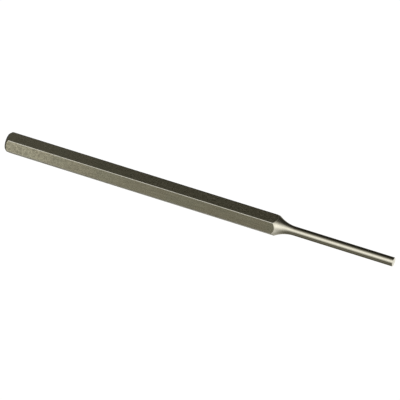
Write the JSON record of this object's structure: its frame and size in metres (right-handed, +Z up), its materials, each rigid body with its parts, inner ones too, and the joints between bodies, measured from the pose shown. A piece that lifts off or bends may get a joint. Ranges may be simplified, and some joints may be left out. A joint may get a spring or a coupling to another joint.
{
  "type": "pin punch",
  "caption": "Hexagonal steel pin punch with a chamfered struck end, a concave turned neck and a slim straight pin for driving pins out of holes.",
  "frame": {"origin": "centre of the length and of the width, on the surface that the punch lies on with one flat down", "axes": "+X along the bar towards the pin's tip, +Z up from the flat that it lies on, corners of the hexagon towards +Y and -Y"},
  "size_m": [0.13, 0.0072, 0.0063],
  "materials": {
    "drawn_steel": "bright drawn hexagonal bar gone slightly dull and warm, fine grain along the bar",
    "turned_steel": "turned steel with fine rings around the axis",
    "polished_steel": "turned and polished steel with very fine rings around the axis"
  },
  "bodies": {
    "root": {"striking_end": "turned_steel", "hex_shank": "drawn_steel", "neck": "turned_steel", "pin": "polished_steel"}
  },
  "joints": []
}
